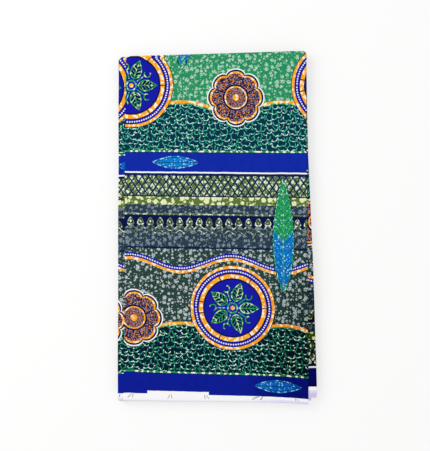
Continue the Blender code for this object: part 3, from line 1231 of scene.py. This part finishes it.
print("a leaf every degrees:", 360.0 / DISC_LEAVES)

# %% [markdown]
# ## The curls and the seed
#
# A curl is a ring with one side left open, on a stalk that starts near the seed in the middle. It stands on
# the angle halfway between two leaves.

# %% The disc's curls, and the whole disc
CURL_MIDDLE = 33.0
CURL_RADIUS = 5.2
CURL_NAVY = 2.0
CURL_HALF_WIDTH = 0.95
CURL_OPENING = 3.4
STALK = (20.0, 8.0)
STALK_HALF_WIDTH = 0.9
SEED_RING = (8.0, 1.3)
SEED_REACH = 3.6


def paint_wreath(colour, distance, angle, marks):
    """Five leaves, a curl between each two, and a seed in the middle."""
    dye = patched("leaf", "pale leaf", marks)
    half_turn = math.pi / DISC_LEAVES
    spoke = abs(wrapped(angle, -half_turn, half_turn)) * distance
    colour = paint_leaf(colour, distance, spoke, dye)
    turned = wrapped(angle + half_turn, -half_turn, half_turn) * distance
    outward = distance - CURL_MIDDLE
    curl = distance_of(turned, outward)
    drawn_side = (turned + outward) < CURL_OPENING
    colour = painted(colour, DYES["navy"], both(near(curl, CURL_RADIUS, CURL_NAVY), drawn_side))
    colour = painted(colour, dye, both(near(curl, CURL_RADIUS, CURL_HALF_WIDTH), drawn_side))
    stalk = both(near(turned, 0.0, STALK_HALF_WIDTH), near(distance, *STALK))
    colour = painted(colour, dye, either(stalk, near(distance, *SEED_RING)))
    return painted(colour, patched("orange", "cream", marks), distance < SEED_REACH)


def paint_disc(colour, at, marks):
    """The disc: its rims, and the wreath inside them."""
    distance, angle = round_places(at, DISC_ALONG, DISC_HEIGHT)
    colour = paint_rims(colour, distance, angle, marks)
    return paint_wreath(colour, distance, angle, marks)


print("the wreath reaches, mm from the disc's middle:", LEAF_FOOT + LEAF_LENGTH)

# %% [markdown]
# ## The brown flower
#
# Its scalloped edge is a distance that swells with the angle, so that the white, navy and orange rims
# follow it. The petals are filled with fine strokes, which come from a noise that is drawn out from the
# middle.

# %% Brown flower
FLOWER_ALONG, FLOWER_HEIGHT = 51.0, 92.0
PETAL_TURNS = 4.0
SCALLOP_DEPTH = 7.5
SEAM_REACH = (28.0, 8.0)
HEART_LINE = (20.4, 1.5)
HEART_RIM = (17.9, 1.1)
HEART_REACH = 5.4
SEAM_SHARE = 0.13
STROKES_ROUND = 9.0
STROKES_OUT = 0.26
LILAC_OVER = 0.62
ORANGE_UNDER = 0.41


def petal_strokes(distance, angle):
    """Noise drawn out from a flower's middle, for the strokes on its petals."""
    inputs = {"X": angle * STROKES_ROUND, "Y": distance * STROKES_OUT}
    place = add_node(angle.tree, "ShaderNodeCombineXYZ", {}, inputs)
    return noise(Wire(angle.tree, place.outputs[0]), 0.9, detail=2.0)


def paint_flower(colour, at, marks):
    """The scalloped flower: white, navy and orange rims round brown petals full of strokes."""
    distance, angle = round_places(at, FLOWER_ALONG, FLOWER_HEIGHT)
    scallop = abs(maths("COSINE", angle * PETAL_TURNS))
    rim = distance - maths("SQRT", scallop) * SCALLOP_DEPTH
    strokes = petal_strokes(distance, angle)
    petals = painted(DYES["aubergine"], DYES["lilac"], strokes > LILAC_OVER)
    petals = painted(petals, DYES["stroke orange"], strokes < ORANGE_UNDER)
    orange = patched("orange", "cream", marks)
    for dye, reach in ((DYES["white"], 41.0), (DYES["navy"], 39.0), (orange, 36.0), (petals, 33.0)):
        colour = painted(colour, dye, rim < reach)
    seam = both(scallop < SEAM_SHARE, near(distance, *SEAM_REACH))
    colour = painted(colour, DYES["navy"], either(seam, near(distance, *HEART_LINE)))
    colour = painted(colour, orange, near(distance, *HEART_RIM))
    return painted(colour, orange, distance < HEART_REACH)


print("petals:", 2.0 * PETAL_TURNS)

# %% [markdown]
# ## The feathers
#
# A tall feather stands over the bands beside each disc, blue below and green above, with slanted barbs. The
# shape is a half width that changes along the length, and the distance aside is folded over, so each half
# mirrors the other.

# %% Feather
FEATHER_ALONG, FEATHER_FOOT = 300.0, 140.0
FEATHER_LENGTH = 190.0
FEATHER_HALF_WIDTH = 18.5
FEATHER_FULLEST = 0.85
FEATHER_BLUNTNESS = 0.75
FEATHER_CHANGE = 222.0
FEATHER_NAVY = 1.4
FEATHER_RIB = 1.1
FEATHER_RIM = (-0.7, 0.9)
NOTCH_DEPTH = 0.35
BARB_SLOPE = 1.2
BARB_SPAN = 5.4
BARB_SHADE = 0.75


def paint_feather(colour, at, marks):
    """A tall feather with barbs that slant up from its rib and notches along its edge."""
    aside = abs(aside_of(at, FEATHER_ALONG))
    share = clamped((at["up"] - FEATHER_FOOT) / FEATHER_LENGTH)
    along_barb = at["up"] - aside * BARB_SLOPE
    barb = back_and_forth(along_barb, BARB_SPAN)
    swell = maths("SINE", maths("POWER", share, FEATHER_FULLEST) * math.pi)
    edge = aside - maths("POWER", swell, FEATHER_BLUNTNESS) * FEATHER_HALF_WIDTH + barb * NOTCH_DEPTH
    blades = painted(DYES["turquoise"], DYES["feather green"], along_barb > FEATHER_CHANGE)
    spots = painted(DYES["pale turquoise"], DYES["white"], marks["speck"])
    blades = painted(blades, spots, marks["small"])
    blades = painted(blades, DYES["feather shade"], barb < BARB_SHADE)
    standing = near(share, 0.5, 0.4999)
    colour = painted(colour, DYES["navy"], both(edge < FEATHER_NAVY, standing))
    colour = painted(colour, blades, both(edge < 0.0, standing))
    rib = both(either(aside < FEATHER_RIB, near(edge, *FEATHER_RIM)), both(edge < 0.1, standing))
    return painted(colour, patched("leaf", "pale leaf", marks, "speck"), rib)


print("barbs on each side of a feather:", round(FEATHER_LENGTH / (2.0 * BARB_SPAN)))

# %% [markdown]
# ## The lozenges
#
# Small turquoise lozenges lie in the blue band. They are pointed ovals, because the half width falls with
# the square of the way to a tip.

# %% Lozenge
LOZENGE_ALONG, LOZENGE_HEIGHT = 120.0, 352.6
LOZENGE_HALF_LENGTH = 40.0
LOZENGE_HALF_WIDTH = 10.4
LOZENGE_RIM = 1.8
LOZENGE_RIB = 0.6
LOZENGE_LINE = (-2.4, 0.5)


def paint_lozenge(colour, at, marks):
    """A pointed oval that lies along the blue band."""
    share = abs(aside_of(at, LOZENGE_ALONG)) / LOZENGE_HALF_LENGTH
    above = abs(at["up"] - LOZENGE_HEIGHT)
    edge = above - (1.0 - share * share) * LOZENGE_HALF_WIDTH
    rim = painted(DYES["turquoise"], DYES["pale turquoise"], marks["patch"])
    colour = painted(colour, rim, edge < 0.0)
    inside = painted(DYES["turquoise"], DYES["pale turquoise"], marks["small"])
    colour = painted(colour, inside, edge < -LOZENGE_RIM)
    shade = either(above < LOZENGE_RIB, near(edge, *LOZENGE_LINE))
    return painted(colour, DYES["feather shade"], both(shade, edge < 0.0))


print("a lozenge is mm long:", 2.0 * LOZENGE_HALF_LENGTH)

# %% [markdown]
# ## Painted shade and mottled dye
#
# Towards one corner of each half of the cloth the colours are darkened by painted shade, more on the back
# half. The dye is also a little mottled everywhere, and the white cloth stays white. Multiplying a colour by
# itself does just that, since it darkens a dark dye most.

# %% Painted shade and mottled dye
FRONT_SHADE = 0.62
BACK_SHADE = 0.88
MOTTLE = 0.32
MOTTLE_FROM = 0.40


def paint_mottle_and_shade(colour, at, marks):
    """The print's dyes mottled, and darkened by painted shade towards a corner of each half of the cloth."""
    # Painted shade: the colours darken towards the deep corner, more on the back half. The mottle is the
    # dye's own.
    on_back = at["across"] > CLOTH_WIDTH / 2.0
    mottle = maths("MAXIMUM", marks["mottle"] - MOTTLE_FROM, 0.0) * MOTTLE
    mask = at["deep"] * (on_back * (BACK_SHADE - FRONT_SHADE) + FRONT_SHADE) + mottle
    return painted(colour, colour, mask, blend="MULTIPLY")


print("the deep corner keeps this share of a dye of 0.30:", round(1.0 - FRONT_SHADE * (1.0 - 0.30), 2))

# %% [markdown]
# ## The selvage
#
# Past the blue border the cloth is bare. A small white tab stands where a mill prints its mark, and here it
# is left empty. Pairs of small slanted ticks are marks of the printing frame.

# %% Selvage
SELVAGES = (13.4, 1153.6)
EDGE_BANDS = (7.0, 1160.0)
TAB_MIDDLE = -214.8
TAB_REACH = 50.6
TAB_BAND = (15.2, 3.2)
TICK_BAND = (9.4, 3.4)
TICK_PITCH = 70.0
TICK_LINE = (6.6, 0.72)
TICK_SLANT = 0.34
TICK_DRIFT = 40.0


def paint_selvage(colour, at, marks):
    """The bare selvages along both edges of the cloth, with the empty tab and the printer's ticks."""
    across, along = at["across"], at["along"]
    # Painted shade: the selvage's edge band darkens towards the same corner as the print.
    shaded_edge_band = painted(DYES["pale selvage"], DYES["selvage"], at["deep"])
    bare = painted(DYES["white"], shaded_edge_band, beyond(across, *EDGE_BANDS))
    colour = painted(colour, bare, beyond(across, *SELVAGES))
    colour = painted(colour, DYES["white"], both(near(along, TAB_MIDDLE, TAB_REACH), near(across, *TAB_BAND)))
    from_pair = back_and_forth(along + marks["drift"] * TICK_DRIFT, TICK_PITCH / 2.0)
    tick = both(near(from_pair + across * TICK_SLANT, *TICK_LINE), near(across, *TICK_BAND))
    return painted(colour, DYES["ink"], tick)


print("empty tab, mm from the cut end:", -TAB_MIDDLE - TAB_REACH, "to", -TAB_MIDDLE + TAB_REACH)

# %% [markdown]
# ## Printed cotton
#
# The cloth is a plain weave of fine yarn with a light glaze from its finishing. Its threads are far smaller
# than a pixel of the photo, so they are only a fine bump: two sets of ridges, over and under each other.
# The print gives the colour. Dyed cotton hardly shines, so its highlight is kept weak and broad.

# %% Material
THREADS_PER_MM = 2.6
WEAVE_DEPTH = 0.08 * MM
WEAVE_STRENGTH = 0.25
COTTON_ROUGHNESS = 0.65
COTTON_SHINE = 0.02


def weave_height(flat):
    """Ridges of warp and weft."""
    warp, weft = (maths("SINE", part * (math.pi * THREADS_PER_MM)) for part in parts_of(flat))
    return warp * weft


def printed_cotton():
    """The material of the whole cloth."""
    material = bpy.data.materials.new("printed cotton")
    material.use_nodes = True
    tree = material.node_tree
    shader = tree.nodes["Principled BSDF"]
    at = print_places(tree)
    marks = shared_marks(at["flat"])
    print("marks shared by the print:", len(marks))
    colour = paint_grounds(at, marks)
    layers = (
        paint_slate,
        paint_lace,
        paint_lattice,
        paint_hills,
        paint_ribbon,
        paint_blue_band,
        paint_dashes,
        paint_disc,
        paint_flower,
        paint_feather,
        paint_lozenge,
        paint_mottle_and_shade,
        paint_selvage,
    )
    for layer in layers:
        colour = layer(colour, at, marks)
    tree.links.new(colour.socket, shader.inputs["Base Color"])
    inputs = {"Strength": WEAVE_STRENGTH, "Distance": WEAVE_DEPTH, "Height": weave_height(at["flat"])}
    bump = add_node(tree, "ShaderNodeBump", {}, inputs)
    tree.links.new(bump.outputs[0], shader.inputs["Normal"])
    shader.inputs["Roughness"].default_value = COTTON_ROUGHNESS
    shader.inputs["Specular IOR Level"].default_value = COTTON_SHINE
    print("nodes in the print:", len(tree.nodes))
    return material


cotton = printed_cotton()

# %% [markdown]
# ## The four stretches of cloth
#
# The end panel lies on top, and shows whole. It has the most stations and rows, because its creases and the
# bow of its lower edge have to look smooth. A finer mesh would gain nothing, since the print is no part of
# it.

# %% Top panel
PANEL_SHARES = np.concatenate([[0.0, 0.002, 0.006], np.linspace(0.012, 0.988, 84), [0.994, 0.998, 1.0]])
TOP_ROWS = rows_across(even_steps(160), even_steps(24))

top_cloth = cloth_mesh("top_panel_cloth", stations_of([0], PANEL_SHARES), TOP_ROWS, cotton)
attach(top_cloth, "root")
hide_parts("top_panel")

# %% [markdown]
# ## The panels below
#
# The panel below the top one shows past the right edge, and the one below that past the left edge. Their
# stations crowd at both ends, where they show. The folded stretches rest on each other, and the last on the
# floor.

# %% Panels seen past the right and left edges
EDGE_SHARES = np.array([0.0, 0.004, 0.015, 0.035, 0.07, 0.15, 0.4, 0.7, 0.88, 0.95, 0.975, 0.99, 0.997, 1.0])
UNDER_ROWS = rows_across(even_steps(60), even_steps(60))

right_cloth = cloth_mesh("right_under_cloth", stations_of([1], EDGE_SHARES), UNDER_ROWS, cotton)
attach(right_cloth, "root")
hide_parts("right_under_panel")

left_cloth = cloth_mesh("left_under_cloth", stations_of([2], EDGE_SHARES), UNDER_ROWS, cotton)
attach(left_cloth, "root")
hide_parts("left_under_panel")

# %% [markdown]
# ## The hidden layers
#
# All the rest, 15 panels, shows only at the pile's four edges. It is one more mesh of the same cloth, and
# not a block with painted edges, so each edge shows real folds with the print running round them.

# %% Hidden layers
HIDDEN_ROWS = rows_across(even_steps(44), even_steps(44), round_steps=5)
hidden_stations = stations_of(range(3, PANELS), EDGE_SHARES, fold_steps=6)

folded_cloth = cloth_mesh("folded_layers_cloth", hidden_stations, HIDDEN_ROWS, cotton)
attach(folded_cloth, "root")
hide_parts("folded_layers")
